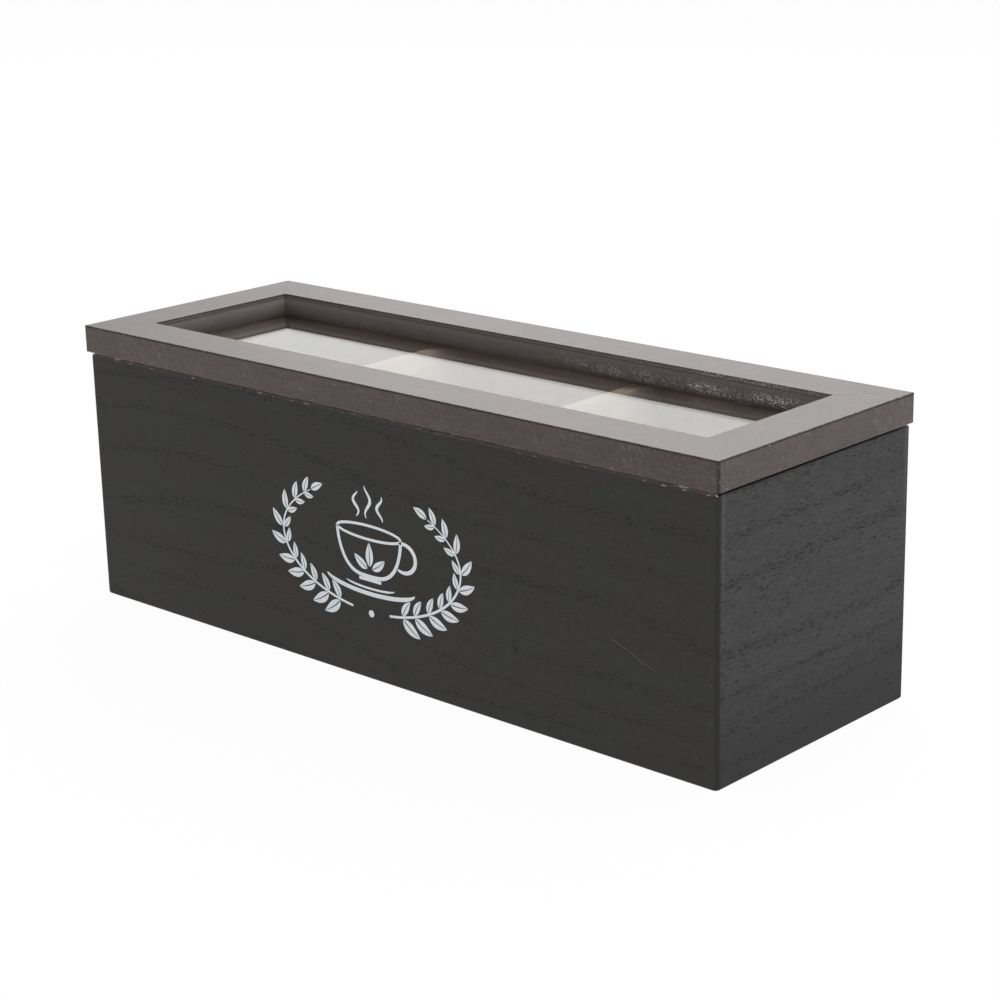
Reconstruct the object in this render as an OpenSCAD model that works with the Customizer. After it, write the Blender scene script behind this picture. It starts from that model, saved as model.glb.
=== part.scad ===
// Tea bag organizer box: a mitred wooden box with three compartments and a hinged, glazed lid.
// X runs along the length, the front faces -Y, Z is up, and the origin is the middle of the underside.

/* [Body] */
// Length of the body, left to right
body_l = 289.6; // [220:0.1:400]
// Depth of the body, front to back
body_w = 100; // [85:0.1:140]
// Height of the body's walls
body_h = 92.5; // [50:0.1:140]
// Thickness of the body's walls
wall_t = 8; // [7.5:0.1:11]
// Rounding of the upright corners
corner_r = 2; // [1.2:0.1:4]
// Rounding of the outer edges at the table
foot_r = 1; // [0.3:0.1:1.1]
// Easing of the outer edges at the rim
rim_r = 0.4; // [0.1:0.1:1]

/* [Base] */
// Thickness of the base panel
base_t = 4; // [2.5:0.1:6]
// How far the base is let into the walls
base_let_in = 4; // [2:0.1:5]
// Play around the base in its rebate
base_play = 0.1; // [0.05:0.01:0.3]

/* [Dividers] */
// Thickness of a divider
divider_t = 5; // [3:0.1:8]
// How far the dividers stop below the rim
divider_drop = 0.5; // [0.2:0.1:10]
// Depth of the housings that hold the dividers
housing_d = 2.2; // [1:0.1:3]
// Play around a divider in its housings
divider_play = 0.1; // [0.05:0.01:0.3]
// Easing of a divider's top edges
divider_r = 0.6; // [0.2:0.1:1]

/* [Lid frame] */
// How far the lid stands proud of the body's front, as a finger lip
front_overhang = 1; // [0.5:0.1:3]
// How far the lid stands proud of the body's ends
end_overhang = 1; // [0:0.1:2]
// Thickness of the lid
lid_t = 9.9; // [9:0.1:14]
// Width of a rail's flat top
rail_w = 18.3; // [15:0.1:26]
// Rounding of the lid's upright corners
lid_corner_r = 0.9; // [0.7:0.1:3]
// Easing of the lid's outer edges
lid_arris_r = 0.5; // [0.1:0.1:0.6]
// Width of the moulding between the flat top and the pane
moulding_w = 4.65; // [3:0.05:6]
// Height of the step from the flat top down to the moulding
moulding_step = 1.2; // [0.6:0.1:1.8]

/* [Pane] */
// Depth of the pane's upper face below the top of the lid
pane_drop = 6.8; // [5:0.1:7]
// Thickness of the pane
pane_t = 2; // [1.5:0.1:2.2]
// How far the pane reaches under the moulding
pane_bite = 4.5; // [3:0.1:6]
// Gap around the pane in its rebate
pane_play = 0.25; // [0.1:0.05:0.5]

/* [Glazing points] */
// Width of a glazing point
point_w = 5; // [3:0.1:8]
// Thickness of a glazing point
point_t = 0.4; // [0.3:0.05:0.5]
// Length of a glazing point inside the rail
point_bury = 4; // [2:0.1:6]
// Length of a glazing point under the pane
point_reach = 3; // [1.5:0.1:4]
// Spacing of the glazing points along the long rails
point_spacing = 95; // [60:1:95]

/* [Hinges] */
// Length of a hinge
hinge_l = 20; // [16:0.1:30]
// Distance from the body's ends to the middle of each hinge
hinge_inset = 50; // [35:1:80]
// Thickness of a leaf
leaf_t = 0.45; // [0.3:0.05:0.8]
// Play between the two leaves when the lid is shut
leaf_play = 0.1; // [0.05:0.01:0.3]
// Width of a leaf on the wood
leaf_w = 6; // [5:0.1:6.5]
// Radius of the hinge pin
pin_r = 0.6; // [0.5:0.05:1]
// Radial clearance of the pin in its knuckles
pin_clear = 0.05; // [0.02:0.01:0.1]
// Wall of a knuckle
knuckle_wall = 0.4; // [0.3:0.05:0.8]
// Play between neighbouring knuckles
knuckle_play = 0.2; // [0.1:0.05:0.5]
// Gap between the barrel and the backs of the body and the lid
barrel_gap = 0.25; // [0.15:0.05:1]

/* [Hinge screws] */
// Radius of a screw's shank
screw_r = 0.8; // [0.6:0.05:1]
// Length of a screw
screw_l = 6.5; // [4:0.1:7.5]
// Radius of a screw's head
screw_head_r = 1.5; // [1.3:0.05:1.8]
// Height of a screw's countersunk head
screw_head_h = 0.8; // [0.5:0.05:1.2]
// Distance between the two screws of a leaf
screw_spacing = 12; // [9:0.1:12.5]
// Clearance around a screw
screw_clear = 0.05; // [0.02:0.01:0.1]
// Width of a screw's slot
slot_w = 0.4; // [0.2:0.05:0.6]
// Depth of a screw's slot
slot_d = 0.3; // [0.1:0.05:0.4]

/* [Rim pads] */
// Radius of the pads that the lid's front rests on
pad_r = 3; // [1.5:0.1:3.5]
// Distance from the body's ends to the middle of each pad
pad_inset = 14; // [12:0.5:40]
// Play between the pads and the shut lid
pad_play = 0.05; // [0.02:0.01:0.2]

/* [Hidden] */
$fn = 64;
// Overshoot of the cutting shapes past the faces they cut
over = 0.5;

// The room that the folded hinges take is the gap all round under the lid
lid_gap = 2 * leaf_t + leaf_play;
lid_z = body_h + lid_gap;
lid_l = body_l + 2 * end_overhang;
// The lid is flush with the body's back, so its middle lies in front of the body's
lid_w = body_w + front_overhang;
lid_middle_y = -front_overhang / 2;
// Width of a rail down to the sight line, and the pane's place above the underside of the lid
rail_full = rail_w + moulding_w;
pane_top = lid_t - pane_drop;
pane_bottom = pane_top - pane_t;
rebate_u = rail_full - pane_bite - pane_play;
// The moulding is an arc that starts at the step and stands upright where it meets the pane
moulding_h = pane_drop - moulding_step;
moulding_r = (pow(moulding_h, 2) + pow(moulding_w, 2)) / (2 * moulding_w);

inner_l = body_l - 2 * wall_t;
inner_w = body_w - 2 * wall_t;
// Three equal compartments put the two dividers here
cell_l = (inner_l - 2 * divider_t) / 3;
divider_x = (cell_l + divider_t) / 2;

// The pin runs behind the flush backs, level with the middle of the gap
barrel_r = pin_r + pin_clear + knuckle_wall;
pin_y = body_w / 2 + barrel_gap + barrel_r;
pin_z = body_h + lid_gap / 2;
hinge_x = body_l / 2 - hinge_inset;
knuckle_l = (hinge_l - 2 * knuckle_play) / 3;
// A leaf is a full plate as far as the backs, and only its knuckles' webs go on
plate_back_y = body_w / 2;
leaf_front_y = plate_back_y - leaf_w;
screw_y = plate_back_y - leaf_w / 2;
web_lap = 0.3;

point_offsets = [-point_spacing, 0, point_spacing];

// Shared shapes

// Plan of a side with its outer face on the X axis and both ends mitred
module mitred_plan(length, depth, end_r) {
  difference() {
    polygon([
      [-length / 2, 0], [length / 2, 0],
      [length / 2 - depth, depth], [-length / 2 + depth, depth]
    ]);
    for (end = [-1, 1])
      translate([end * length / 2, 0])
        mirror([end > 0 ? 1 : 0, 0])
          arris_waste(end_r);
  }
}

// What a rounding of radius r takes off a corner at the origin
module arris_waste(r) {
  difference() {
    translate([-over, -over])
      square(r + over);
    translate([r, r])
      circle(r);
  }
}

// What a rounding takes off a side's lower outer edge and off the upright corners it turns into
module edge_waste(length, end_r, r) {
  translate([-(length / 2 - end_r), 0, 0])
    rotate([90, 0, 90])
      linear_extrude(length - 2 * end_r)
        arris_waste(r);
  for (end = [-1, 1])
    translate([end * (length / 2 - end_r), end_r, 0])
      rotate([0, 0, end > 0 ? -90 : 180])
        rotate_extrude(angle = 90)
          translate([end_r, 0])
            mirror([1, 0])
              arris_waste(r);
}

// How far a side that was drawn facing the front turns about the box's middle
function turn(side) = side == "front" ? 0 : side == "right" ? 90 : side == "back" ? 180 : 270;

// Puts a side that was drawn along the X axis in its place, at half of depth from the middle
module at_side(side, depth) {
  rotate([0, 0, turn(side)])
    translate([0, -depth / 2, 0])
      children();
}

// Body

// A body wall with its outer face on the X axis
module wall(length) {
  difference() {
    linear_extrude(body_h)
      mitred_plan(length, wall_t, corner_r);
    edge_waste(length, corner_r, foot_r);
    translate([0, 0, body_h])
      mirror([0, 0, 1])
        edge_waste(length, corner_r, rim_r);
    // Rebate for the base
    translate([-length / 2, wall_t - base_let_in - base_play, -over])
      cube([length, base_let_in + base_play + over, base_t + over]);
  }
}

// Housings that the dividers slide down into, cut into a long wall
module divider_housings() {
  for (place = [-1, 1])
    translate([place * divider_x - divider_t / 2 - divider_play, wall_t - housing_d, base_t])
      cube([divider_t + 2 * divider_play, housing_d + over, body_h]);
}

module front_panel() {
  color("#3b3937")
    at_side("front", body_w)
      difference() {
        wall(body_l);
        divider_housings();
      }
}

module back_panel() {
  color("#3b3937")
    difference() {
      at_side("back", body_w)
        difference() {
          wall(body_l);
          divider_housings();
        }
      body_screws(screw_clear);
    }
}

module left_end_panel() {
  color("#3e3c3a")
    at_side("left", body_l)
      wall(body_w);
}

module right_end_panel() {
  color("#3e3c3a")
    at_side("right", body_l)
      wall(body_w);
}

module base_panel() {
  base_l = inner_l + 2 * base_let_in;
  base_w = inner_w + 2 * base_let_in;
  color("#6b4a33")
    translate([-base_l / 2, -base_w / 2, 0])
      cube([base_l, base_w, base_t]);
}

// A divider standing on the base, its ends in the housings
module divider(x) {
  length = inner_w + 2 * (housing_d - divider_play);
  height = body_h - divider_drop - base_t;
  color("#a5886c")
    translate([x, length / 2, base_t])
      rotate([90, 0, 0])
        linear_extrude(length)
          difference() {
            translate([-divider_t / 2, 0])
              square([divider_t, height]);
            for (face = [-1, 1])
              translate([face * divider_t / 2, height])
                mirror([face > 0 ? 1 : 0, 0])
                  mirror([0, 1])
                    arris_waste(divider_r);
          }
}

// A soft pad on the front rim that keeps the lid level with the hinges
module rim_pad(x) {
  color("#d8d4cc")
    translate([x, -(body_w - wall_t) / 2, body_h])
      cylinder(h = lid_gap - pad_play, r = pad_r);
}

// Hinges

// A slotted countersunk screw with its head on the XY plane, pointing down
module screw(clear) {
  difference() {
    union() {
      translate([0, 0, -screw_head_h])
        cylinder(h = screw_head_h, r1 = screw_r + clear, r2 = screw_head_r + clear);
      translate([0, 0, -screw_l - clear])
        cylinder(h = screw_l + clear - screw_head_h, r = screw_r + clear);
    }
    if (clear == 0)
      translate([-screw_head_r - over, -slot_w / 2, -slot_d])
        cube([2 * (screw_head_r + over), slot_w, slot_d + over]);
  }
}

// The two screws of each body leaf, or their holes where there is a clearance
module body_screws(clear) {
  for (hinge = [-1, 1], end = [-1, 1])
    translate([hinge * hinge_x + end * screw_spacing / 2, screw_y, body_h + leaf_t])
      screw(clear);
}

// The two screws of each lid leaf, driven upwards
module lid_screws(clear) {
  for (hinge = [-1, 1], end = [-1, 1])
    translate([hinge * hinge_x + end * screw_spacing / 2, screw_y, lid_z - leaf_t])
      mirror([0, 0, 1])
        screw(clear);
}

// A knuckle's bore along X, longer than the barrel
module knuckle_bore(x) {
  translate([x - hinge_l / 2 - over, pin_y, pin_z])
    rotate([0, 90, 0])
      cylinder(h = hinge_l + 2 * over, r = pin_r + pin_clear);
}

// One knuckle from its left end, with the web that joins it to a leaf whose lower face is at leaf_z
module knuckle(left_x, leaf_z) {
  translate([left_x, pin_y, pin_z])
    rotate([0, 90, 0])
      cylinder(h = knuckle_l, r = barrel_r);
  translate([left_x, plate_back_y - web_lap, leaf_z])
    cube([knuckle_l, pin_y - plate_back_y + web_lap, leaf_t]);
}

// The plate of a leaf, lying on the wood
module leaf_plate(x, leaf_z) {
  translate([x - hinge_l / 2, leaf_front_y, leaf_z])
    cube([hinge_l, plate_back_y - leaf_front_y, leaf_t]);
}

// The leaf on the body's rim, with the two outer knuckles
module body_leaf(x) {
  color("#b08d4a")
    difference() {
      union() {
        leaf_plate(x, body_h);
        for (left_x = [x - hinge_l / 2, x + hinge_l / 2 - knuckle_l])
          knuckle(left_x, body_h);
      }
      knuckle_bore(x);
      body_screws(screw_clear);
    }
}

// The leaf under the lid, with the middle knuckle
module lid_leaf(x) {
  color("#b08d4a")
    difference() {
      union() {
        leaf_plate(x, lid_z - leaf_t);
        knuckle(x - knuckle_l / 2, lid_z - leaf_t);
      }
      knuckle_bore(x);
      lid_screws(screw_clear);
    }
}

module hinge_pin(x) {
  color("#b9984f")
    translate([x - hinge_l / 2, pin_y, pin_z])
      rotate([0, 90, 0])
        cylinder(h = hinge_l, r = pin_r);
}

module body_leaf_screws() {
  color("#c0a25c")
    body_screws(0);
}

module lid_leaf_screws() {
  color("#c0a25c")
    lid_screws(0);
}

// Lid

// Puts a side of the lid in its place
module at_lid_side(side, depth) {
  translate([0, lid_middle_y, 0])
    at_side(side, depth)
      children();
}

// Section of a rail, from its outer edge inwards and from its underside up
module rail_section() {
  difference() {
    union() {
      square([rail_w, lid_t]);
      intersection() {
        translate([rail_full - moulding_r, pane_top])
          circle(moulding_r);
        translate([rail_w - over, 0])
          square([moulding_w + 2 * over, lid_t]);
      }
    }
    // Rebate for the pane, open below
    translate([rebate_u, -over])
      square([rail_full, pane_top + over]);
    arris_waste(lid_arris_r);
    translate([0, lid_t])
      mirror([0, 1])
        arris_waste(lid_arris_r);
  }
}

// Plan of a glazing point, its tail pointing into the rail, which lies on the -Y side
module point_plan(clear) {
  half_w = point_w / 2 + clear;
  tail = point_bury + clear;
  polygon([
    [-half_w, point_reach + pane_play], [half_w, point_reach + pane_play],
    [half_w, -tail / 2], [0, -tail], [-half_w, -tail / 2]
  ]);
}

// A glazing point against the underside of the pane, in a rail's own place
module glazing_point(clear) {
  translate([0, rebate_u, pane_bottom - point_t - clear])
    linear_extrude(point_t + 2 * clear)
      point_plan(clear);
}

// A mitred, moulded and rebated rail with its outer edge on the X axis
module rail(length, points) {
  translate([0, 0, lid_z])
    difference() {
      intersection() {
        translate([-length / 2, 0, 0])
          rotate([90, 0, 90])
            linear_extrude(length)
              rail_section();
        translate([0, 0, -over])
          linear_extrude(lid_t + 2 * over)
            mitred_plan(length, rail_full, lid_corner_r);
      }
      for (x = points)
        translate([x, 0, 0])
          glazing_point(screw_clear);
    }
}

module lid_front_rail() {
  color("#574b48")
    at_lid_side("front", lid_w)
      rail(lid_l, point_offsets);
}

module lid_back_rail() {
  color("#574b48")
    difference() {
      at_lid_side("back", lid_w)
        rail(lid_l, point_offsets);
      lid_screws(screw_clear);
    }
}

module lid_left_rail() {
  color("#5b504c")
    at_lid_side("left", lid_l)
      rail(lid_w, [0]);
}

module lid_right_rail() {
  color("#5b504c")
    at_lid_side("right", lid_l)
      rail(lid_w, [0]);
}

module window_pane() {
  pane_l = lid_l - 2 * (rebate_u + pane_play);
  pane_w = lid_w - 2 * (rebate_u + pane_play);
  color("#dfe6e4", 0.35)
    translate([-pane_l / 2, lid_middle_y - pane_w / 2, lid_z + pane_bottom])
      cube([pane_l, pane_w, pane_t]);
}

module glazing_points() {
  color("#9a9c9e")
    translate([0, 0, lid_z]) {
      for (side = ["front", "back"], x = point_offsets)
        at_lid_side(side, lid_w)
          translate([x, 0, 0])
            glazing_point(0);
      for (side = ["right", "left"])
        at_lid_side(side, lid_l)
          glazing_point(0);
    }
}

front_panel();
back_panel();
left_end_panel();
right_end_panel();
base_panel();
divider(-divider_x);  // left_divider
divider(divider_x);  // right_divider
rim_pad(-body_l / 2 + pad_inset);  // front_left_pad
rim_pad(body_l / 2 - pad_inset);  // front_right_pad
body_leaf(-hinge_x);  // left_hinge_body_leaf
body_leaf(hinge_x);  // right_hinge_body_leaf
hinge_pin(-hinge_x);  // left_hinge_pin
hinge_pin(hinge_x);  // right_hinge_pin
body_leaf_screws();
lid_front_rail();
lid_back_rail();
lid_left_rail();
lid_right_rail();
window_pane();
glazing_points();
lid_leaf(-hinge_x);  // left_hinge_lid_leaf
lid_leaf(hinge_x);  // right_hinge_lid_leaf
lid_leaf_screws();
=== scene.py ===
"""Looks of the tea bag organizer box: finishes, the print on its front, light and camera.

Everything is in metres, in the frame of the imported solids: X runs along the length, the front faces -Y and
Z is up.
"""
import math

import bmesh
import bpy
import numpy as np
from mathutils import Matrix, Vector


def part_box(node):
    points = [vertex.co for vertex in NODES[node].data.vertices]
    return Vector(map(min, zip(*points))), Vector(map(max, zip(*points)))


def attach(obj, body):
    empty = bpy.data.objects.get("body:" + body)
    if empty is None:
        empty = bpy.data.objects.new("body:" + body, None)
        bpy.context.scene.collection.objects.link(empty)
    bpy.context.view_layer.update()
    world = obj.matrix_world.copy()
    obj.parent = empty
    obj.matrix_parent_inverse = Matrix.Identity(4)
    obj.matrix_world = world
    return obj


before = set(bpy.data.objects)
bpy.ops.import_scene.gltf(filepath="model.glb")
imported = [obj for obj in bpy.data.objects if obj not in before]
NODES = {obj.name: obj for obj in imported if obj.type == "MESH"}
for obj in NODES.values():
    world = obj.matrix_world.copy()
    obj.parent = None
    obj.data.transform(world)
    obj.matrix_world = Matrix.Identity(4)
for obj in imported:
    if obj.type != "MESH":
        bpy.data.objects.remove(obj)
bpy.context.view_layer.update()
MM = 0.001

# Places that the finishes and the print are laid out from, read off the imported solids
BODY_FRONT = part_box("front_panel")[0].y
BODY_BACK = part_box("back_panel")[1].y
BODY_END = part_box("right_end_panel")[1].x
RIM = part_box("front_panel")[1].z
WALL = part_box("right_end_panel")[1].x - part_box("right_end_panel")[0].x
LID_LOW, LID_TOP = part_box("lid_front_rail")[0].z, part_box("lid_front_rail")[1].z
LID_FRONT, LID_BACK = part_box("lid_front_rail")[0].y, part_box("lid_back_rail")[1].y
LID_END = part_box("lid_right_rail")[1].x
PANE_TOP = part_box("window_pane")[1].z
DIVIDER_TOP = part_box("left_divider")[1].z
# The rails' flat top, which ends at the step down to the moulding
RAIL_FLAT = 18.3 * MM


class Finish:
    """One material. Its methods add a node each and hand back the socket that carries the result."""

    def __init__(self, name):
        self.material = bpy.data.materials.new(name)
        self.material.use_nodes = True
        self.tree = self.material.node_tree
        self.shader = self.tree.nodes["Principled BSDF"]
        self.place = self.add("ShaderNodeTexCoord").outputs["Object"]

    def add(self, kind, **settings):
        made = self.tree.nodes.new(kind)
        for key, value in settings.items():
            setattr(made, key, value)
        return made

    def feed(self, socket, value):
        if isinstance(value, bpy.types.NodeSocket):
            self.tree.links.new(value, socket)
        else:
            socket.default_value = value

    def calc(self, operation, *values):
        """A Math node on up to three numbers or sockets."""
        made = self.add("ShaderNodeMath", operation=operation)
        for socket, value in zip(made.inputs, values):
            self.feed(socket, value)
        return made.outputs[0]

    def ramp(self, value, low, high, to_low=0.0, to_high=1.0):
        """value carried smoothly from low..high to to_low..to_high, and held beyond them."""
        made = self.add("ShaderNodeMapRange", interpolation_type="SMOOTHSTEP", clamp=True)
        for socket, number in zip(made.inputs, (value, low, high, to_low, to_high)):
            self.feed(socket, number)
        return made.outputs["Result"]

    def stretched(self, per_metre, shift=(0.0, 0.0, 0.0)):
        """The place on the piece, multiplied by per_metre along each axis and then shifted."""
        made = self.add("ShaderNodeMapping")
        self.feed(made.inputs["Vector"], self.place)
        made.inputs["Scale"].default_value = per_metre
        made.inputs["Location"].default_value = shift
        return made.outputs["Vector"]

    def noise(self, vector, detail=3.0, roughness=0.55, distortion=0.0):
        made = self.add("ShaderNodeTexNoise")
        self.feed(made.inputs["Vector"], vector)
        made.inputs["Scale"].default_value = 1.0
        made.inputs["Detail"].default_value = detail
        made.inputs["Roughness"].default_value = roughness
        made.inputs["Distortion"].default_value = distortion
        return made.outputs["Fac"]

    def specks(self, vector, full, gone, number, test, limit):
        """Share of specks in the middle of some Voronoi cells: whole up to the distance full, none at gone.

        A cell has a speck if the given one of its three random numbers passes the test against limit.
        """
        made = self.add("ShaderNodeTexVoronoi", feature="F1")
        self.feed(made.inputs["Vector"], vector)
        made.inputs["Scale"].default_value = 1.0
        chosen = self.calc(test, self.axes(made.outputs["Color"])[number], limit)
        return self.calc("MULTIPLY", self.ramp(made.outputs["Distance"], full, gone, 1.0, 0.0), chosen)

    def axes(self, vector=None):
        made = self.add("ShaderNodeSeparateXYZ")
        self.feed(made.inputs[0], self.place if vector is None else vector)
        return made.outputs[0], made.outputs[1], made.outputs[2]

    def mixed(self, share, first, second):
        made = self.add("ShaderNodeMix", data_type="RGBA")
        colours = [s for s in made.inputs if s.type == "RGBA"]
        self.feed(made.inputs[0], share)
        for socket, value in zip(colours, (first, second)):
            self.feed(socket, value if isinstance(value, bpy.types.NodeSocket) else (*value, 1.0))
        return [s for s in made.outputs if s.type == "RGBA"][0]

    def relief(self, height, depth, strength):
        """Bump: height 0..1 stands for depth metres."""
        made = self.add("ShaderNodeBump")
        made.inputs["Strength"].default_value = strength
        made.inputs["Distance"].default_value = depth
        self.feed(made.inputs["Height"], height)
        self.feed(self.shader.inputs["Normal"], made.outputs["Normal"])

    def cover(self, surface):
        """Makes surface what the material shows, in place of the plain shader."""
        out = [n for n in self.tree.nodes if n.type == "OUTPUT_MATERIAL"][0]
        self.feed(out.inputs["Surface"], surface)
        return self.material

    def dress(self, **sockets):
        """Sets or feeds the shader's sockets, named with underscores for spaces."""
        for key, value in sockets.items():
            socket = self.shader.inputs[key.replace("_", " ")]
            plain = isinstance(value, bpy.types.NodeSocket) or not isinstance(value, tuple)
            self.feed(socket, value if plain else (*value, 1.0))
        return self.material


def either(f, a, b):
    """Share of a or b, whichever is more."""
    return f.calc("MAXIMUM", a, b)


def both(f, *shares):
    """Share of the place where all the shares hold: their product."""
    product = shares[0]
    for share in shares[1:]:
        product = f.calc("MULTIPLY", product, share)
    return product


def near(f, value, target, reach):
    """1 where value is target, falling to 0 at reach from it."""
    off = f.calc("ABSOLUTE", f.calc("SUBTRACT", value, target))
    return f.ramp(off, 0.0, reach, 1.0, 0.0)


def laid(grain, along, across):
    """Pattern sizes per metre, along and across a board's grain."""
    return (along, across, across) if grain == "x" else (across, along, across)


def shade(tone, amount):
    return tuple(c * amount for c in tone)


def tinted(tone, tint):
    return tuple(c * t for c, t in zip(tone, tint))


def layered(f, ground, tone, layers):
    """Lays tone over ground once for each layer, which is its share and its brightness beside tone."""
    for share, level in layers:
        ground = f.mixed(share, ground, shade(tone, level))
    return ground


# Tones of the wood, the stain and what shows where it is rubbed through, and tones of painted light and
# painted shade
LINING_PALE = (0.40, 0.29, 0.21)
LINING_DEEP = (0.29, 0.20, 0.135)
# Raw wood of the long walls' rubbed rim, paler than the wood as painted light in the shade under the lid
RAW_EDGE_AND_PAINTED_LIGHT = (0.78, 0.67, 0.63)
RIM_WOOD = (0.50, 0.38, 0.28)
DIVIDER_PALE = (0.62, 0.50, 0.41)
DIVIDER_DEEP = (0.50, 0.39, 0.31)
# Paler back of the dividers' top edge: painted light where the lid's rail shades it
DIVIDER_EDGE_PAINTED_LIGHT = (0.74, 0.56, 0.42)
RUBBED_ARRIS = (0.095, 0.072, 0.072)
RUBBED_LACQUER = (0.34, 0.27, 0.26)
# Painted shade on the rounded upright corners of the walls
PAINTED_CORNER_SHADE = (0.0165, 0.0160, 0.0155)
LID_CORNER_TONE = (0.016, 0.007, 0.006)
MOULDING_TONE = (0.0210, 0.0122, 0.0092)
# Painted light for the riser of the lid's step, which lies in shade
RISER_PAINTED_LIGHT = (0.105, 0.088, 0.084)
POLISHING_DUST = (0.46, 0.43, 0.42)

# Growth lines of the veneer: their spacing, how they climb along the board and how many spacings they bend
GROWTH_GAP = 13.5 * MM
GROWTH_TILT = 0.028
GROWTH_BEND = 4.2
# Height over which painted shade darkens the ends towards the table
PAINTED_FOOT_SHADE = 42 * MM
# Outer strip of the rim that took the stain: how far in it is whole, and how far in it ends
STAINED_STRIP = (2.2 * MM, 2.6 * MM)
# The lining's brown begins this deep in a wall, so that the inner face wears it all over
LINING_LAP = 0.1 * MM
# Half the width of a mitre of the lid, and the lean of the strokes of sandpaper
MITRE_HALF = 0.28 * MM
SANDING_LEAN = 0.45
# A hair scratch on the front: where it starts, its direction, its length and how it wavers
SCRATCH_START = (103.6 * MM, 40.0 * MM)
SCRATCH_WAY = (0.927, -0.375)
SCRATCH_LONG = 23.2 * MM
SCRATCH_WAVER = 2.4 * MM
SCRATCH_HALF = 0.28 * MM


def hair_scratch(f, x, y, z):
    """Share of a thin wavering line from SCRATCH_START on the front, which fades towards its end."""
    off_x = f.calc("SUBTRACT", x, SCRATCH_START[0])
    off_z = f.calc("SUBTRACT", z, SCRATCH_START[1])
    along = f.calc("MULTIPLY_ADD", off_x, SCRATCH_WAY[0], f.calc("MULTIPLY", off_z, SCRATCH_WAY[1]))
    aside = f.calc("MULTIPLY_ADD", off_z, SCRATCH_WAY[0], f.calc("MULTIPLY", off_x, -SCRATCH_WAY[1]))
    waver = f.noise(f.stretched((160, 160, 160)), detail=1.0)
    line = near(f, f.calc("MULTIPLY_ADD", waver, SCRATCH_WAVER, aside), SCRATCH_WAVER / 2, SCRATCH_HALF)
    starts = f.ramp(along, 0.0, 2.0 * MM)
    ends = f.ramp(along, SCRATCH_LONG * 0.6, SCRATCH_LONG, 1.0, 0.0)
    return both(f, line, starts, ends, f.calc("LESS_THAN", y, BODY_FRONT + WALL / 2))


def growth(f, grain, seed):
    """Shares of the growth lines and of the open pores.

    Growth lines are even steps of z, bent by slow noise. Pores are long thin Voronoi cells along the grain:
    most of those in a growth line are open and dark, and few of the others.
    """
    x, y, z = f.axes()
    bend = f.noise(f.stretched(laid(grain, 5, 15), (seed, 0, 0)), detail=1.0)
    rise = f.calc("MULTIPLY_ADD", x if grain == "x" else y, GROWTH_TILT, z)
    count = f.calc("MULTIPLY_ADD", bend, GROWTH_BEND, f.calc("MULTIPLY", rise, 1 / GROWTH_GAP))
    line = f.ramp(f.calc("PINGPONG", count, 0.5), 0.05, 0.12, 1.0, 0.0)
    patch = f.noise(f.stretched(laid(grain, 26, 90), (seed, 0, 5)), detail=2.0)
    crowd = both(f, line, f.ramp(patch, 0.34, 0.52, 0.3, 1.0))
    chance = f.calc("MULTIPLY_ADD", crowd, 0.80, f.ramp(patch, 0.45, 0.70, 0.025, 0.11))
    lengthwise = f.stretched(laid(grain, 360, 2100), (seed, 0, 3))
    return line, f.specks(lengthwise, 0.26, 0.48, 0, "LESS_THAN", chance)


def wall_corners(f, stained, tone, z, round_it, chipped):
    """A dark seam of painted shade on the upright corners, with a painted highlight strip on its end side
    and rubbed spots on the other.

    round_it is the way round a corner, from minus on the long face to plus on the end.
    """
    wander = f.calc("MULTIPLY_ADD", chipped, 1.2 * MM, round_it)
    # Painted shade along the round of the corner
    painted_corner_shade = near(f, wander, 0.85 * MM, 1.7 * MM)
    stained = f.mixed(f.ramp(painted_corner_shade, 0.15, 0.55, 0.0, 0.8), stained, PAINTED_CORNER_SHADE)
    # Painted highlight on the end's side of the corner, fading towards the foot; the rubbed spots beside it
    # are wear
    painted_highlight = both(f, near(f, round_it, 2.7 * MM, 0.9 * MM), f.ramp(z, 40 * MM, RIM))
    rubbed = both(f, near(f, round_it, -2.6 * MM, 0.8 * MM), f.ramp(chipped, 0.58, 0.66, 0.0, 0.9))
    return f.mixed(f.calc("MULTIPLY", either(f, painted_highlight, rubbed), 0.6), stained, shade(tone, 2.2))


def raw_upper_edge(f, stained, z, to_side, seed):
    """The long walls' upper arris, rubbed raw in a ragged line that shows under the lid, paler there as
    painted light.
    """
    ragged = f.noise(f.stretched((260, 260, 900), (seed, 3, 3)), detail=3.0, roughness=0.65)
    level = f.calc("MULTIPLY_ADD", ragged, 0.7 * MM, z)
    worn_edge = f.mixed(f.ramp(ragged, 0.56, 0.66), RUBBED_ARRIS, shade(RAW_EDGE_AND_PAINTED_LIGHT, 0.6))
    # Further in on the rim the raw wood is paler still, as painted light against the gap's shade
    edge = f.mixed(f.ramp(to_side, 0.25 * MM, 0.6 * MM), worn_edge, RAW_EDGE_AND_PAINTED_LIGHT)
    return f.mixed(f.ramp(level, RIM - 0.10 * MM, RIM + 0.06 * MM), stained, edge)


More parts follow.
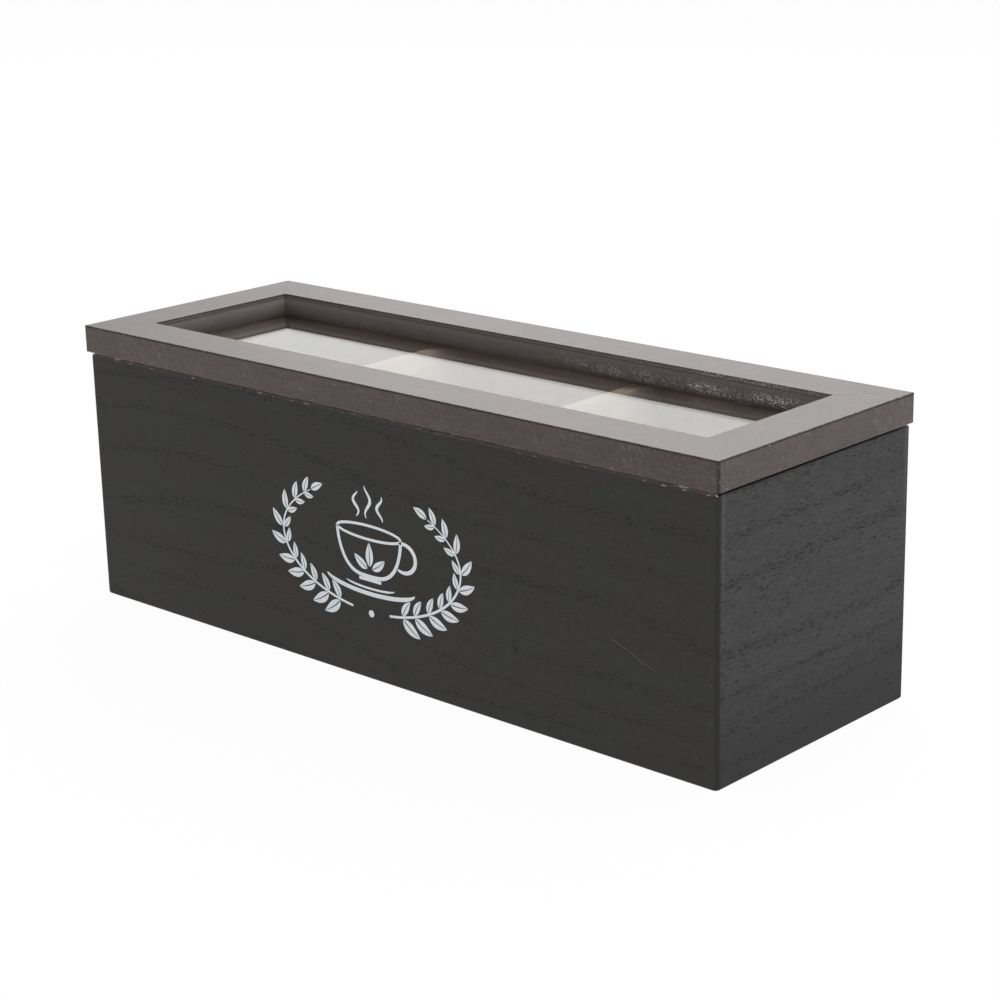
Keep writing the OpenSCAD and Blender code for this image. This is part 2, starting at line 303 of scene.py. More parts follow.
def black_stain(name, grain, tone, contrast, seed, long_side):
    """Near-black stain over open-pored veneer, with the lining's brown on the inner face.

    Fine streaks and flecks lie between the growth lines, and contrast is how much all of that shows. The
    long walls have a raw upper edge, paler under the lid as painted light, the front has the scratch, and
    the ends get painted shade towards the table.
    """
    f = Finish(name)
    x, y, z = f.axes()
    line, pores = growth(f, grain, seed)
    grit = f.noise(f.stretched(laid(grain, 480, 1500), (seed, 4, 4)), detail=2.0, roughness=0.7)
    lit = f.specks(f.stretched(laid(grain, 420, 1500), (seed, 7, 1)), 0.12, 0.34, 1, "LESS_THAN", 0.16)
    fibre = f.noise(f.stretched(laid(grain, 170, 1700), (seed, 2, 0)), detail=3.0, roughness=0.65)
    streak = f.noise(f.stretched(laid(grain, 22, 260), (seed, 5, 0)), detail=3.0)
    cloud = f.noise(f.stretched((70, 70, 120), (seed, 0, 8)), detail=3.0, roughness=0.6)
    ground = f.mixed(f.ramp(cloud, 0.38, 0.62), tinted(tone, (0.97, 1.02, 1.00)),
                     tinted(tone, (1.07, 0.99, 0.98)))
    stained = layered(f, ground, tone, (
        (f.ramp(streak, 0.32, 0.68, 0.0, 0.55 * contrast), 0.66),
        (f.ramp(fibre, 0.48, 0.64, 0.0, 0.7 * contrast), 1.4),
        (f.ramp(fibre, 0.36, 0.50, 0.7 * contrast, 0.0), 0.7),
        (f.ramp(grit, 0.52, 0.66, 0.0, 0.6 * contrast), 0.55),
        (f.ramp(grit, 0.34, 0.46, 0.4 * contrast, 0.0), 1.7),
        (f.calc("MULTIPLY", lit, 0.45 * contrast), 2.0),
        (f.calc("MULTIPLY", line, 0.30 * contrast), 0.6),
        (f.calc("MULTIPLY", pores, 0.10 + 0.80 * contrast), 0.14)))
    # Painted shade: the ends darker towards the table
    if not long_side:
        stained = f.mixed(f.ramp(z, 0.0, PAINTED_FOOT_SHADE, 0.8, 0.0), stained, shade(tone, 0.4))
    to_end = f.calc("SUBTRACT", BODY_END, f.calc("ABSOLUTE", x))
    to_side = f.calc("SUBTRACT", BODY_BACK, f.calc("ABSOLUTE", y))
    chipped = f.noise(f.stretched((500, 500, 160), (0, seed, 9)), detail=3.0, roughness=0.7)
    stained = wall_corners(f, stained, tone, z, f.calc("SUBTRACT", to_side, to_end), chipped)
    if long_side:
        stained = raw_upper_edge(f, stained, z, to_side, seed)
        stained = f.mixed(f.calc("MULTIPLY", hair_scratch(f, x, y, z), 0.8), stained, shade(tone, 3.2))
    # The rim is left raw, inwards of the strip that took the stain
    to_face = f.calc("MULTIPLY_ADD", chipped, 0.8 * MM, to_side if grain == "x" else to_end)
    bare = both(f, f.ramp(z, RIM - 0.12 * MM, RIM - 0.04 * MM), f.ramp(to_face, *STAINED_STRIP))
    figure = f.ramp(streak, 0.3, 0.7)
    stained = f.mixed(bare, stained, f.mixed(figure, RIM_WOOD, shade(RIM_WOOD, 0.74)))
    # The inner face of a wall wears the lining's brown in place of the stain
    half = -BODY_FRONT if grain == "x" else BODY_END
    depth = f.calc("SUBTRACT", half - WALL + LINING_LAP, f.calc("ABSOLUTE", y if grain == "x" else x))
    lining = f.mixed(f.calc("MULTIPLY", pores, 0.35), f.mixed(figure, LINING_PALE, LINING_DEEP),
                     shade(LINING_DEEP, 0.5))
    height = f.calc("MULTIPLY_ADD", pores, -0.8, f.calc("MULTIPLY", fibre, 0.35))
    f.relief(f.calc("ADD", height, 0.8), 0.12 * MM, 0.5)
    sheen = f.calc("MULTIPLY_ADD", fibre, 0.16, f.calc("MULTIPLY_ADD", pores, 0.18, 0.50))
    return f.dress(Base_Color=f.mixed(f.ramp(depth, 0.0, LINING_LAP), stained, lining), Roughness=sheen,
                   Specular_IOR_Level=0.22)


def lid_figure(f, grain, tone, seed):
    """The rails' colour away from every edge, and the shares of its fibres, grit and pores."""
    x, y, z = f.axes()
    fibre = f.noise(f.stretched(laid(grain, 160, 1500), (seed, 1, 0)), detail=3.0, roughness=0.65)
    streak = f.noise(f.stretched(laid(grain, 18, 260), (seed, 4, 0)), detail=3.0)
    cloud = f.noise(f.stretched((95, 95, 150), (seed, 0, 6)), detail=3.0, roughness=0.6)
    crowd = f.ramp(cloud, 0.45, 0.65, 0.08, 0.30)
    pores = f.specks(f.stretched(laid(grain, 420, 1200), (seed, 0, 2)), 0.18, 0.40, 0, "LESS_THAN", crowd)
    grit = f.noise(f.stretched((1300, 1300, 1300), (0, seed, 0)), detail=2.0, roughness=0.7)
    # Slanting strokes of sandpaper that show through the lacquer, here and there
    lean = f.calc("MULTIPLY_ADD", z, SANDING_LEAN, x if grain == "x" else y)
    slant = f.add("ShaderNodeCombineXYZ")
    f.feed(slant.inputs[0], f.calc("MULTIPLY", lean, 1500.0))
    f.feed(slant.inputs[1], f.calc("MULTIPLY", z, 260.0))
    stroke = f.ramp(f.noise(slant.outputs[0], detail=2.0, roughness=0.6), 0.52, 0.68)
    place = f.noise(f.stretched((45, 45, 45), (seed, 6, 6)), detail=1.0)
    ground = f.mixed(f.ramp(cloud, 0.40, 0.60), tinted(tone, (0.88, 0.98, 0.92)),
                     tinted(tone, (1.16, 1.0, 1.05)))
    ground = layered(f, ground, tone, (
        (f.ramp(streak, 0.35, 0.7, 0.0, 0.45), 0.6),
        (f.ramp(fibre, 0.45, 0.7, 0.0, 0.7), 1.6),
        (f.ramp(grit, 0.52, 0.66, 0.0, 0.5), 1.9),
        (f.ramp(grit, 0.34, 0.48, 0.45, 0.0), 0.5),
        (f.calc("MULTIPLY", pores, 0.65), 0.25),
        (both(f, stroke, f.ramp(place, 0.44, 0.56, 0.05, 1.0)), 2.3)))
    return ground, fibre, grit, pores


def polishing_dust(f, x, y, z, inward, step):
    """Share of the dust: thickest low in the back moulding at the right, with a few crumbs anywhere."""
    right = f.ramp(x, -20 * MM, 110 * MM, 0.06, 1.0)
    in_back = f.ramp(y, 0.0, 10 * MM)
    low_bead = both(f, near(f, z, PANE_TOP + 2.2 * MM, 2.6 * MM),
                    f.ramp(inward, RAIL_FLAT + 1.0 * MM, RAIL_FLAT + 2.0 * MM))
    caught = either(f, low_bead, f.calc("MULTIPLY", step, 0.7))
    drift = f.noise(f.stretched((70, 70, 200), (0, 2, 4)), detail=2.0)
    spread = f.noise(f.stretched((1900, 1900, 1900), (0, 0, 4)), detail=2.0, roughness=0.7)
    dusty = both(f, caught, both(f, right, in_back), f.ramp(drift, 0.38, 0.60, 0.3, 1.0))
    crumbs = f.specks(f.stretched((700, 700, 700)), 0.12, 0.22, 2, "GREATER_THAN", 0.985)
    return either(f, both(f, dusty, f.ramp(spread, 0.48, 0.62)), f.calc("MULTIPLY", crumbs, 0.6))


def lid_stain(name, grain, tone, seed):
    """Dark brown stain under semi-gloss lacquer, chipped along the arrises and dusty in the moulding.

    The arrises, the mitres and the moulding are found from the place on the lid: inward is how far it is in
    from the nearest outer edge, and round_it is nought on a mitre.
    """
    f = Finish(name)
    x, y, z = f.axes()
    ground, fibre, grit, pores = lid_figure(f, grain, tone, seed)
    middle = (LID_FRONT + LID_BACK) / 2
    from_end = f.calc("SUBTRACT", LID_END, f.calc("ABSOLUTE", x))
    from_side = f.calc("SUBTRACT", (LID_BACK - LID_FRONT) / 2,
                       f.calc("ABSOLUTE", f.calc("SUBTRACT", y, middle)))
    inward = f.calc("MINIMUM", from_end, from_side)
    round_it = f.calc("SUBTRACT", from_end, from_side)
    chipped = f.noise(f.stretched((700, 700, 700), (seed, 0, 9)), detail=3.0, roughness=0.7)
    # Two of the four mitres, where x and y have the same sign, have opened a hair
    opened = f.ramp(f.calc("MULTIPLY", x, y), 0.0, 1e-5, 0.15, 0.75)
    mitre = both(f, near(f, round_it, 0.0, MITRE_HALF), f.ramp(chipped, 0.35, 0.55, 0.3, 1.0), opened)
    ground = f.mixed(mitre, ground, shade(tone, 0.2))
    # The upright corners, dark and reddish
    corner = both(f, f.ramp(f.calc("ABSOLUTE", round_it), 0.4 * MM, 1.1 * MM, 1.0, 0.0),
                  f.ramp(inward, 0.3 * MM, 0.6 * MM, 1.0, 0.0))
    ground = f.mixed(f.calc("MULTIPLY", corner, 0.85), ground, LID_CORNER_TONE)
    # The top's outer arris, darker, and specks where the lacquer is off it, the corners and the foot
    edge = f.calc("MULTIPLY_ADD", chipped, 1.2 * MM, inward)
    top_arris = both(f, f.ramp(edge, 0.8 * MM, 1.2 * MM, 1.0, 0.0),
                     f.ramp(z, LID_TOP - 0.8 * MM, LID_TOP - 0.35 * MM))
    ground = f.mixed(f.calc("MULTIPLY", top_arris, 0.85), ground, shade(tone, 0.2))
    foot = both(f, f.ramp(z, LID_LOW + 0.1 * MM, LID_LOW + 0.6 * MM, 1.0, 0.0),
                f.ramp(y, LID_FRONT + 0.7 * MM, LID_FRONT + 1.2 * MM, 1.0, 0.0))
    along_edge = both(f, f.ramp(inward, 0.5 * MM, 1.2 * MM, 1.0, 0.0),
                      f.ramp(z, LID_TOP - 0.7 * MM, LID_TOP - 0.3 * MM))
    exposed = either(f, f.calc("MULTIPLY", along_edge, 0.2), either(f, corner, foot))
    nicks = f.specks(f.stretched((900, 900, 900), (seed, 4, 4)), 0.20, 0.36, 1, "LESS_THAN", 0.22)
    ground = f.mixed(f.calc("MULTIPLY", both(f, nicks, exposed), 0.7), ground, shade(tone, 8.0))
    # The moulding, browner and duller than the flat of the rail, painted shade in the step, and the riser of
    # the step made pale with painted light
    within = f.ramp(inward, RAIL_FLAT + 0.1 * MM, RAIL_FLAT + 0.5 * MM)
    ground = f.mixed(f.calc("MULTIPLY", within, 0.8), ground, MOULDING_TONE)
    step = both(f, f.ramp(inward, RAIL_FLAT - 0.1 * MM, RAIL_FLAT),
                f.ramp(inward, RAIL_FLAT + 0.15 * MM, RAIL_FLAT + 0.5 * MM, 1.0, 0.0))
    # Painted shade in the step down to the moulding
    ground = f.mixed(f.calc("MULTIPLY", step, 0.2), ground, shade(tone, 0.35))
    # Painted light on the riser of the step, which lies in shade
    painted_riser_light = both(f, near(f, inward, RAIL_FLAT, 0.15 * MM),
                 f.ramp(z, LID_TOP - 0.75 * MM, LID_TOP - 0.35 * MM, 1.0, 0.0))
    ground = f.mixed(painted_riser_light, ground, RISER_PAINTED_LIGHT)
    # The lower front arris, rubbed through to a pale pink
    worn = f.noise(f.stretched((330, 330, 600), (0, 3, 0)), detail=4.0, roughness=0.7)
    rubbed = both(f, foot, f.ramp(worn, 0.46, 0.62))
    ground = f.mixed(f.calc("MULTIPLY", rubbed, 0.6), ground, RUBBED_LACQUER)
    dust = polishing_dust(f, x, y, z, inward, step)
    ground = f.mixed(dust, ground, POLISHING_DUST)
    height = f.calc("MULTIPLY_ADD", pores, -0.6, f.calc("MULTIPLY", fibre, 0.3))
    height = f.calc("MULTIPLY_ADD", grit, 0.25, f.calc("MULTIPLY_ADD", mitre, -0.8, height))
    f.relief(f.calc("ADD", height, 1.4), 0.08 * MM, 0.5)
    sheen = f.calc("MULTIPLY_ADD", fibre, 0.14, f.calc("MULTIPLY_ADD", dust, 0.3, 0.30))
    sheen = f.calc("MULTIPLY_ADD", within, 0.24, sheen)
    dull = either(f, mitre, f.calc("MULTIPLY", top_arris, 0.8))
    dull = either(f, dull, f.calc("MULTIPLY", corner, 0.7))
    sheen = either(f, sheen, f.calc("MULTIPLY_ADD", dull, 0.6, 0.30))
    return f.dress(Base_Color=ground, Roughness=sheen, Specular_IOR_Level=0.5)


def bare_wood(name, grain, pale, deep, seed, painted_light_top=False):
    """Light unstained board: long streaks and fine fibres along the grain.

    When asked for, the board's top edge is darker from the front up to the last third of its depth, as
    painted shade, and paler behind that, as painted light where the lid's rail shades it.
    """
    f = Finish(name)
    streak = f.noise(f.stretched(laid(grain, 12, 210), (seed, 0, 0)), detail=4.0, roughness=0.6)
    fibre = f.noise(f.stretched(laid(grain, 70, 1700), (seed, 3, 0)), detail=3.0)
    colour = f.mixed(f.ramp(streak, 0.3, 0.7), pale, deep)
    if painted_light_top:
        # Painted shade at the front of the top edge and painted light towards its back
        x, y, z = f.axes()
        edge = f.mixed(f.ramp(y, 14 * MM, 32 * MM, 1.0, 0.0), DIVIDER_EDGE_PAINTED_LIGHT, shade(deep, 0.55))
        colour = f.mixed(f.ramp(z, DIVIDER_TOP - 0.5 * MM, DIVIDER_TOP - 0.1 * MM), colour, edge)
    colour = f.mixed(f.ramp(fibre, 0.5, 0.8, 0.0, 0.3), colour, shade(deep, 0.6))
    f.relief(fibre, 0.05 * MM, 0.5)
    return f.dress(Base_Color=colour, Roughness=f.calc("MULTIPLY_ADD", streak, 0.15, 0.55),
                   Specular_IOR_Level=0.35)


def clear_glass(name):
    """Float glass with faint wiping marks; lamps shine through it on to what is inside."""
    f = Finish(name)
    smear = f.noise(f.stretched((30, 90, 30), (0, 4, 0)), detail=4.0, roughness=0.65, distortion=0.6)
    f.dress(Base_Color=(0.955, 0.97, 0.955), Roughness=f.ramp(smear, 0.55, 0.8, 0.0, 0.05),
            IOR=1.5, Transmission_Weight=1.0)
    lamp = f.add("ShaderNodeLightPath").outputs["Is Shadow Ray"]
    through = f.add("ShaderNodeBsdfTransparent")
    through.inputs["Color"].default_value = (0.88, 0.90, 0.88, 1.0)
    chosen = f.add("ShaderNodeMixShader")
    f.feed(chosen.inputs[0], lamp)
    f.feed(chosen.inputs[1], f.shader.outputs[0])
    f.feed(chosen.inputs[2], through.outputs[0])
    return f.cover(chosen.outputs[0])


def brass(name, tone, lines, dullness):
    """Brass with drawn or stamped lines along X and a little tarnish."""
    f = Finish(name)
    line = f.noise(f.stretched(lines), detail=3.0)
    tarnish = f.noise(f.stretched((400, 400, 400), (3, 0, 0)), detail=4.0, roughness=0.65)
    colour = f.mixed(f.ramp(tarnish, 0.45, 0.75, 0.0, 0.6), tone, shade(tone, 0.45))
    f.relief(line, 0.02 * MM, 0.4)
    return f.dress(Base_Color=colour, Metallic=1.0, Roughness=f.calc("MULTIPLY_ADD", tarnish, 0.3, dullness))


def punched_steel(name):
    """Dull grey strip steel with rolling marks."""
    f = Finish(name)
    line = f.noise(f.stretched((3000, 300, 300)), detail=3.0)
    f.relief(line, 0.02 * MM, 0.4)
    colour = f.mixed(f.ramp(line, 0.4, 0.7), (0.50, 0.51, 0.52), (0.36, 0.36, 0.37))
    return f.dress(Base_Color=colour, Metallic=1.0, Roughness=f.calc("MULTIPLY_ADD", line, 0.2, 0.3))


def soft_pad(name):
    """Milky rubber bumper, slightly dusty."""
    f = Finish(name)
    dust = f.noise(f.stretched((1500, 1500, 1500)), detail=3.0)
    colour = f.mixed(f.ramp(dust, 0.4, 0.7), (0.74, 0.72, 0.68), (0.60, 0.58, 0.54))
    f.relief(dust, 0.03 * MM, 0.4)
    return f.dress(Base_Color=colour, Roughness=f.calc("MULTIPLY_ADD", dust, 0.3, 0.35),
                   Subsurface_Weight=0.2)


def print_ink(name):
    """Bluish white screen print: a thin film, a little mottled, with pinholes over the veneer's pores."""
    f = Finish(name)
    mottle = f.noise(f.stretched((500, 500, 500)), detail=4.0, roughness=0.6)
    pinhole = f.specks(f.stretched((700, 700, 1900)), 0.1, 0.24, 0, "GREATER_THAN", 0.9)
    colour = f.mixed(f.ramp(mottle, 0.3, 0.7), (0.95, 0.98, 1.0), (0.90, 0.94, 0.98))
    colour = f.mixed(f.calc("MULTIPLY", pinhole, 0.5), colour, (0.20, 0.21, 0.22))
    f.relief(f.calc("SUBTRACT", mottle, pinhole), 0.03 * MM, 0.4)
    return f.dress(Base_Color=colour, Roughness=f.calc("MULTIPLY_ADD", mottle, 0.15, 0.42),
                   Specular_IOR_Level=0.35)


# The print on the front: a cup on its saucer between two leafy sprigs. The design is drawn flat, in
# millimetres from PRINT_MIDDLE. Each stroke is a film of ink, INK_FILM proud of the panel's face and sunk
# INK_SUNK into it.
PRINT_MIDDLE = (-1.0 * MM, 45.5 * MM)
INK_FILM = 0.04 * MM
INK_SUNK = 0.01 * MM
# Across a stroke: the share of its width, and the share of the film's height
SECTION = np.array([(0.0, 0.0), (0.10, 0.75), (0.22, 1.0), (0.5, 1.0), (0.78, 1.0), (0.90, 0.75),
                    (1.0, 0.0)])


def ribbon(path, low, high, loop=False):
    """One stroke of ink: at each point of path the section runs from the offset low to the offset high.

    The offsets lie along the path's normal. The grid of the path's points by the section's points is closed
    by faces beneath, and by a face at each end unless the path is a loop.
    """
    n, m = len(path), len(SECTION)
    if loop:
        tangent = np.roll(path, -1, axis=0) - np.roll(path, 1, axis=0)
    else:
        tangent = np.gradient(path, axis=0)
    tangent = tangent / np.linalg.norm(tangent, axis=1, keepdims=True)
    normal = np.stack([-tangent[:, 1], tangent[:, 0]], axis=1)
    across = low[:, None] + (high - low)[:, None] * SECTION[None, :, 0]
    flat = path[:, None, :] + normal[:, None, :] * across[:, :, None]
    rise = SECTION[None, :, 1] * (INK_FILM + INK_SUNK) - INK_SUNK
    points = np.empty((n, m, 3))
    points[..., 0] = PRINT_MIDDLE[0] + flat[..., 0] * MM
    points[..., 1] = BODY_FRONT - rise
    points[..., 2] = PRINT_MIDDLE[1] + flat[..., 1] * MM
    rings = n if loop else n - 1
    ring, spot = np.meshgrid(np.arange(rings), np.arange(m), indexing="ij")
    after, beside = (ring + 1) % n, (spot + 1) % m
    sides = np.stack([ring * m + spot, after * m + spot, after * m + beside, ring * m + beside], axis=-1)
    ends = [] if loop else [list(range(m))[::-1], list(range((n - 1) * m, n * m))]
    return points.reshape(-1, 3), sides.reshape(-1, 4).tolist() + ends


def even(width, n):
    return np.full(n, -width), np.full(n, width)


def tapered(width, n, first=0.25, last=0.25, ends=0.3):
    """Half-widths that grow from first to full over the share ends of the way, and shrink to last."""
    t = np.linspace(0, 1, n)
    grow = first + (1 - first) * np.clip(t / ends, 0, 1) ** 0.6
    shrink = last + (1 - last) * np.clip((1 - t) / ends, 0, 1) ** 0.6
    half = width * np.minimum(grow, shrink)
    return -half, half


def leaf(root, angle, length, bow, n=14):
    """A leaf in two halves beside a bare midrib, which is an arc that starts at root and turns by bow."""
    t = np.linspace(0, 1, n)
    heading = angle + bow * (t - 0.5)
    step = length / (n - 1)
    path = np.array(root) + step * np.cumsum(np.stack([np.cos(heading), np.sin(heading)], axis=1), axis=0)
    half = 0.21 * length * np.sin(math.pi * t ** 0.8) ** 0.85 + 0.03
    rib = 0.02 * length * (1 - 0.6 * t)
    inner = np.minimum(rib, half * 0.5)
    return [ribbon(path, inner, half), ribbon(path, -half, -inner)]


def dot(middle, radius, n=9):
    """A round dot: a short straight path whose width is a circle's."""
    t = np.cos(np.linspace(math.pi, 0, n))
    path = np.array(middle) + radius * np.stack([t, np.zeros(n)], axis=1)
    half = radius * np.sqrt(np.clip(1 - t ** 2, 0.0004, 1))
    return [ribbon(path, -half, half)]


def sprig():
    """The right half of the wreath: a stem on an ellipse from below the saucer up past the cup, with leaves.

    The leaves come in pairs, the inner one smaller, and get shorter towards the tip.
    """
    half_width, half_height, drawn_in = 42.0, 22.0, 4.0
    turn = np.radians(np.linspace(-78, 46, 60))
    reach = half_width - drawn_in * np.clip(np.sin(turn), 0, 1) ** 2
    stem = np.stack([reach * np.cos(turn), half_height * np.sin(turn) + 1.0], axis=1)
    low, high = tapered(0.5, len(stem), first=0.9, last=0.3, ends=0.7)
    strokes = [ribbon(stem, low, high)]
    heading = np.arctan2(*(np.gradient(stem, axis=0).T[::-1]))
    along = np.concatenate([[0.0], np.cumsum(np.linalg.norm(np.diff(stem, axis=0), axis=1))])
    pairs = np.searchsorted(along, np.linspace(5.0, along[-1] - 4.0, 10))
    for i, k in enumerate(pairs):
        length = 9.4 - 0.36 * i
        for way, share in ((-1, 1.0), (1, 0.74)):
            lean = way * math.radians(46 - i)
            strokes += leaf(stem[k], heading[k] + lean, length * share, -lean * 0.55)
    strokes += leaf(stem[-1], heading[-1], 6.5, 0.2)
    return strokes


def mirrored(strokes):
    """The same strokes on the other side of the print's middle, with their faces turned round."""
    across = np.array([2 * PRINT_MIDDLE[0], 0.0, 0.0])
    return [(across + own * (-1, 1, 1), [face[::-1] for face in sides]) for own, sides in strokes]


def wisp(start, height, phase):
    """One wisp of steam, which waves as it rises."""
    t = np.linspace(0, 1, 30)
    wave = start + 1.25 * np.sin(2 * math.pi * (t * 1.15 + phase))
    path = np.stack([wave, 11.8 + height * t], axis=1)
    return ribbon(path, *tapered(0.70, len(path), 0.15, 0.15, 0.5))


def cup():
    """A teacup with its handle, saucer, three wisps of steam and three leaves on its bowl."""
    half_width, rim_level, deep = 15.0, 7.0, 15.5
    turn = np.linspace(0, 2 * math.pi, 64, endpoint=False)
    rim = np.stack([half_width * np.cos(turn), rim_level + 2.4 * np.sin(turn)], axis=1)
    strokes = [ribbon(rim, *even(0.50, len(rim)), loop=True)]
    down = np.linspace(math.pi, 2 * math.pi, 56)
    bowl = np.stack([half_width * np.sign(np.cos(down)) * np.abs(np.cos(down)) ** 0.62,
                     rim_level - deep * np.abs(np.sin(down)) ** 1.15], axis=1)
    strokes.append(ribbon(bowl, *even(0.70, len(bowl))))
    grip = np.radians(np.linspace(112, -118, 34))
    handle = np.stack([half_width + 1.0 + 5.6 * np.cos(grip), 1.2 + 5.0 * np.sin(grip)], axis=1)
    strokes.append(ribbon(handle, *tapered(0.80, len(handle), 0.6, 0.5)))
    foot = np.stack([np.linspace(-5.2, 5.2, 8), np.full(8, -9.7)], axis=1)
    strokes.append(ribbon(foot, *even(0.60, len(foot))))
    plate = np.radians(np.linspace(188, 352, 60))
    outer = np.stack([21.0 * np.cos(plate), -10.4 + 4.2 * np.sin(plate)], axis=1)
    strokes.append(ribbon(outer, *tapered(0.8, len(outer), 0.2, 0.2, 0.2)))
    inner = np.stack([11.5 * np.cos(plate), -11.2 + 1.5 * np.sin(plate)], axis=1)
    strokes.append(ribbon(inner, *tapered(0.4, len(inner), 0.2, 0.2, 0.25)))
    strokes += [wisp(-5.6, 8.8, 0.0), wisp(0.0, 11.2, 0.6), wisp(5.6, 8.8, 0.2)]
    strokes += leaf((0.0, -5.6), math.radians(90), 8.4, 0.0)
    strokes += leaf((-0.6, -5.9), math.radians(146), 7.4, -0.5)
    strokes += leaf((0.6, -5.9), math.radians(34), 7.4, 0.5)
    return strokes


def printed_cup():
    """All strokes as one mesh, each a closed film that lies on the front panel."""
    strokes = cup() + sprig() + mirrored(sprig()) + dot((0.0, -21.6), 1.3)
    points, faces, start = [], [], 0
    for own, sides in strokes:
        points.append(own)
        faces += [[start + i for i in face] for face in sides]
        start += len(own)
    mesh = bpy.data.meshes.new("printed_cup")
    mesh.from_pydata(np.concatenate(points).tolist(), [], faces)
    made = bpy.data.objects.new("printed_cup", mesh)
    bpy.context.scene.collection.objects.link(made)
    outwards(mesh)
    return made


def outwards(mesh):
    held = bmesh.new()
    held.from_mesh(mesh)
    bmesh.ops.recalc_face_normals(held, faces=held.faces)
    held.to_mesh(mesh)
    held.free()


# The stain of the long walls and of the ends, and of the lid's long and short rails; the ends' tone is
# lighter than the long walls' as painted light from the right
FRONT_TONE = (0.0352, 0.0341, 0.0330)
END_TONE = (0.0412, 0.0408, 0.0406)
LONG_RAIL_TONE = (0.058, 0.037, 0.036)
SHORT_RAIL_TONE = (0.051, 0.034, 0.033)

long_wall = black_stain("long_wall_stain", "x", FRONT_TONE, 0.36, 0.0, long_side=True)
end_wall = black_stain("end_wall_stain", "y", END_TONE, 1.0, 11.0, long_side=False)
long_rail = lid_stain("long_rail_stain", "x", LONG_RAIL_TONE, 0.0)
short_rail = lid_stain("short_rail_stain", "y", SHORT_RAIL_TONE, 17.0)
# The dividers' top edges carry painted light and painted shade
divider_wood = bare_wood("divider_board", "y", DIVIDER_PALE, DIVIDER_DEEP, 2.0, painted_light_top=True)
base_wood = bare_wood("base_board", "x", LINING_PALE, LINING_DEEP, 8.0)
glass = clear_glass("pane_glass")
leaf_brass = brass("leaf_brass", (0.78, 0.58, 0.28), (300, 3000, 3000), 0.26)
pin_brass = brass("pin_brass", (0.82, 0.63, 0.33), (200, 5000, 5000), 0.22)
screw_brass = brass("screw_brass", (0.80, 0.62, 0.34), (2500, 2500, 2500), 0.24)
steel = punched_steel("point_steel")
rubber = soft_pad("pad_rubber")

WEARS = {
    "front_panel": long_wall, "back_panel": long_wall,
    "left_end_panel": end_wall, "right_end_panel": end_wall,
    "base_panel": base_wood, "left_divider": divider_wood, "right_divider": divider_wood,
    "front_left_pad": rubber, "front_right_pad": rubber,
    "left_hinge_body_leaf": leaf_brass, "right_hinge_body_leaf": leaf_brass,
    "left_hinge_lid_leaf": leaf_brass, "right_hinge_lid_leaf": leaf_brass,
    "left_hinge_pin": pin_brass, "right_hinge_pin": pin_brass,
    "body_leaf_screws": screw_brass, "lid_leaf_screws": screw_brass,
    "lid_front_rail": long_rail, "lid_back_rail": long_rail,
    "lid_left_rail": short_rail, "lid_right_rail": short_rail,
    "window_pane": glass, "glazing_points": steel,
}
for name, material in WEARS.items():
    for place in NODES[name].material_slots:
        place.material = material

emblem = printed_cup()
emblem.data.materials.append(print_ink("print_ink"))
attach(emblem, "box")


# Share of the glow in what the eye sees of the floor, the glow's strength, and the sky's as light
FLOOR_GLOW = 0.90
GLOW_STRENGTH = 1.06
SKY_LEVEL = 0.80
# Half the floor's side, and how far it lies under the box
FLOOR_HALF = 4.0
FLOOR_DROP = 0.05 * MM


def floor_finish():
    """White sweep. To the eye, in gloss and in glass it glows nearly to white and keeps some shadow."""
    f = Finish("sweep_paper")
    tooth = f.noise(f.stretched((600, 600, 600)), detail=2.0)
    paper = f.mixed(f.ramp(tooth, 0.3, 0.7), (0.42, 0.42, 0.42), (0.40, 0.40, 0.40))
    f.dress(Base_Color=paper, Roughness=0.9, Specular_IOR_Level=0.0)
    rays = f.add("ShaderNodeLightPath")
    seen = either(f, either(f, rays.outputs["Is Camera Ray"], rays.outputs["Is Glossy Ray"]),
                  rays.outputs["Is Transmission Ray"])
    glow = f.add("ShaderNodeEmission")
    glow.inputs["Color"].default_value = (1.0, 1.0, 1.0, 1.0)
    glow.inputs["Strength"].default_value = GLOW_STRENGTH
    chosen = f.add("ShaderNodeMixShader")
    f.feed(chosen.inputs[0], f.calc("MULTIPLY", seen, FLOOR_GLOW))
    f.feed(chosen.inputs[1], f.shader.outputs[0])
    f.feed(chosen.inputs[2], glow.outputs[0])
    return f.cover(chosen.outputs[0])


def floor():
    quarters = ((-1, -1), (1, -1), (1, 1), (-1, 1))
    corners = [(a * FLOOR_HALF, b * FLOOR_HALF, -FLOOR_DROP) for a, b in quarters]
    mesh = bpy.data.meshes.new("floor")
    mesh.from_pydata(corners, [], [(0, 1, 2, 3)])
    mesh.materials.append(floor_finish())
    made = bpy.data.objects.new("floor", mesh)
    bpy.context.scene.collection.objects.link(made)


def sky():
    """Even white all round: plain SKY_LEVEL as light, and white to the eye, in gloss and through glass."""
    world = bpy.data.worlds.new("studio")
    bpy.context.scene.world = world
    world.use_nodes = True
    tree = world.node_tree
    tree.nodes.clear()
    rays = tree.nodes.new("ShaderNodeLightPath")
    seen = rays.outputs["Is Camera Ray"]
    for other in ("Is Glossy Ray", "Is Transmission Ray"):
        more = tree.nodes.new("ShaderNodeMath")
        more.operation = "MAXIMUM"
        tree.links.new(seen, more.inputs[0])
        tree.links.new(rays.outputs[other], more.inputs[1])
        seen = more.outputs[0]
    chosen = tree.nodes.new("ShaderNodeMixShader")
    tree.links.new(seen, chosen.inputs[0])
    for place, level in ((1, SKY_LEVEL), (2, 1.0)):
        plain = tree.nodes.new("ShaderNodeBackground")
        plain.inputs["Color"].default_value = (1.0, 1.0, 1.0, 1.0)
        plain.inputs["Strength"].default_value = level
        tree.links.new(plain.outputs[0], chosen.inputs[place])
    out = tree.nodes.new("ShaderNodeOutputWorld")
    tree.links.new(chosen.outputs[0], out.inputs["Surface"])


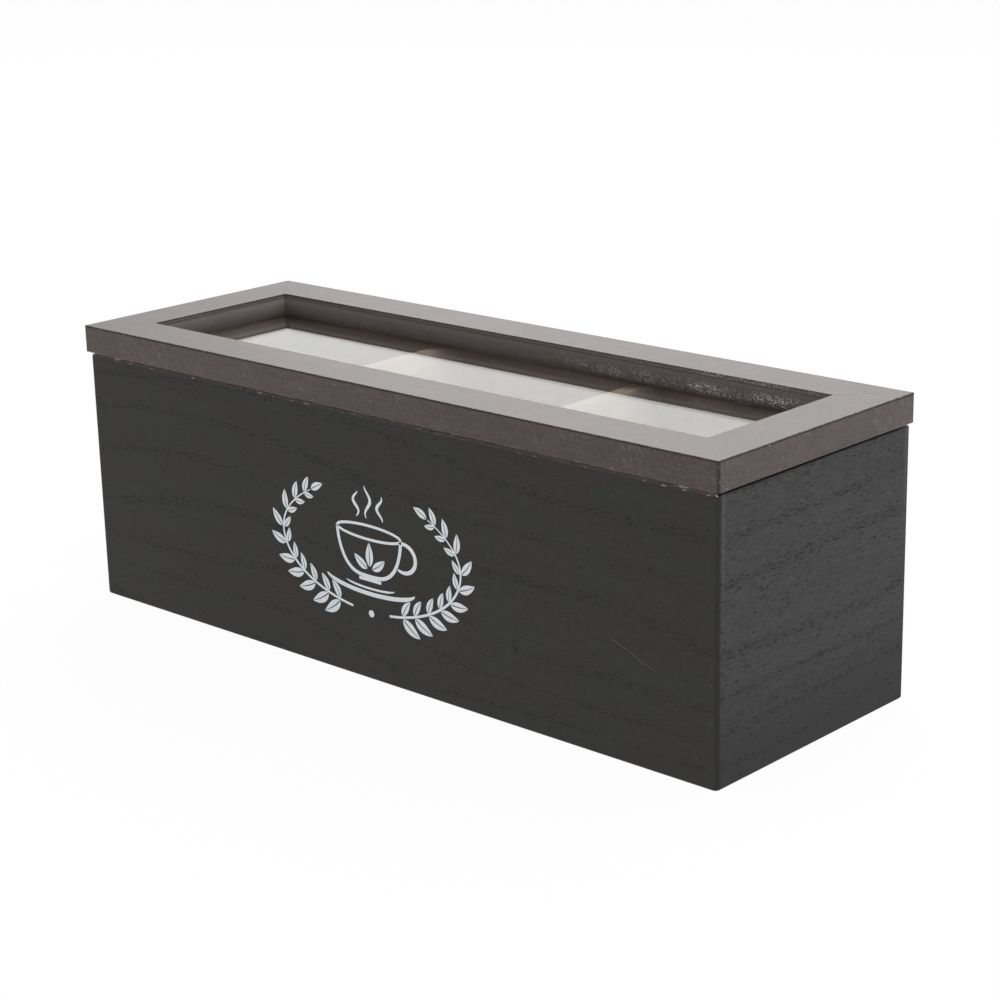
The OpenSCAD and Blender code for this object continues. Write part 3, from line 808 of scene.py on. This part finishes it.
def soft_lamp(name, place, aim, size, radiance):
    """A rectangular lamp of an even radiance: watts are radiance times pi times its area."""
    data = bpy.data.lights.new(name, "AREA")
    data.shape = "RECTANGLE"
    data.size, data.size_y = size
    data.energy = radiance * math.pi * size[0] * size[1]
    made = bpy.data.objects.new(name, data)
    made.location = place
    made.rotation_euler = (Vector(aim) - Vector(place)).to_track_quat("-Z", "Y").to_euler()
    made.visible_camera = False
    bpy.context.scene.collection.objects.link(made)


# The camera was fitted to the photograph's edges: it looks at AIM from DISTANCE away
AIM = Vector((0.006738, 0.006207, 0.051939))
DISTANCE = 0.823244
AZIMUTH = math.radians(42.967)
ELEVATION = math.radians(16.894)
ROLL = math.radians(1.286)
# Focal length in pixels of a picture PICTURE_WIDTH wide, and the sensor's width in millimetres
LENS_PIXELS = 2373.51
PICTURE_WIDTH = 1000
SENSOR = 36.0


def camera():
    data = bpy.data.cameras.new("camera")
    data.sensor_width = SENSOR
    data.lens = LENS_PIXELS / PICTURE_WIDTH * SENSOR
    made = bpy.data.objects.new("camera", data)
    back = Vector((math.sin(AZIMUTH) * math.cos(ELEVATION), -math.cos(AZIMUTH) * math.cos(ELEVATION),
                   math.sin(ELEVATION)))
    level = Vector((math.cos(AZIMUTH), math.sin(AZIMUTH), 0.0))
    up = back.cross(level)
    right = level * math.cos(ROLL) - up * math.sin(ROLL)
    turned = Matrix((right, back.cross(right), back)).transposed()
    made.matrix_world = Matrix.Translation(AIM + back * DISTANCE) @ turned.to_4x4()
    bpy.context.scene.collection.objects.link(made)
    bpy.context.scene.camera = made


def beyond(behind, right, up):
    """A place behind the box and to its right as the camera sees it, and up from the floor."""
    away = Vector((-math.sin(AZIMUTH), math.cos(AZIMUTH), 0.0))
    beside = Vector((math.cos(AZIMUTH), math.sin(AZIMUTH), 0.0))
    return away * behind + beside * right + Vector((0, 0, up))


bpy.context.scene.view_settings.view_transform = "Standard"
floor()
sky()
# The high card behind the box makes the lid's top and the window pale, the low one lifts the moulding, and
# the card at the right lights the end
soft_lamp("back_card", beyond(1.10, 0.62, 1.10), aim=(0, 0, 0.15), size=(2.2, 0.9), radiance=2.25)
soft_lamp("low_back_card", beyond(1.30, 0.10, 0.30), aim=(0, 0, 0.20), size=(2.4, 0.6), radiance=0.33)
soft_lamp("right_card", (1.5, -0.25, 0.85), aim=(0, 0, 0.05), size=(1.2, 1.2), radiance=2.2)
camera()
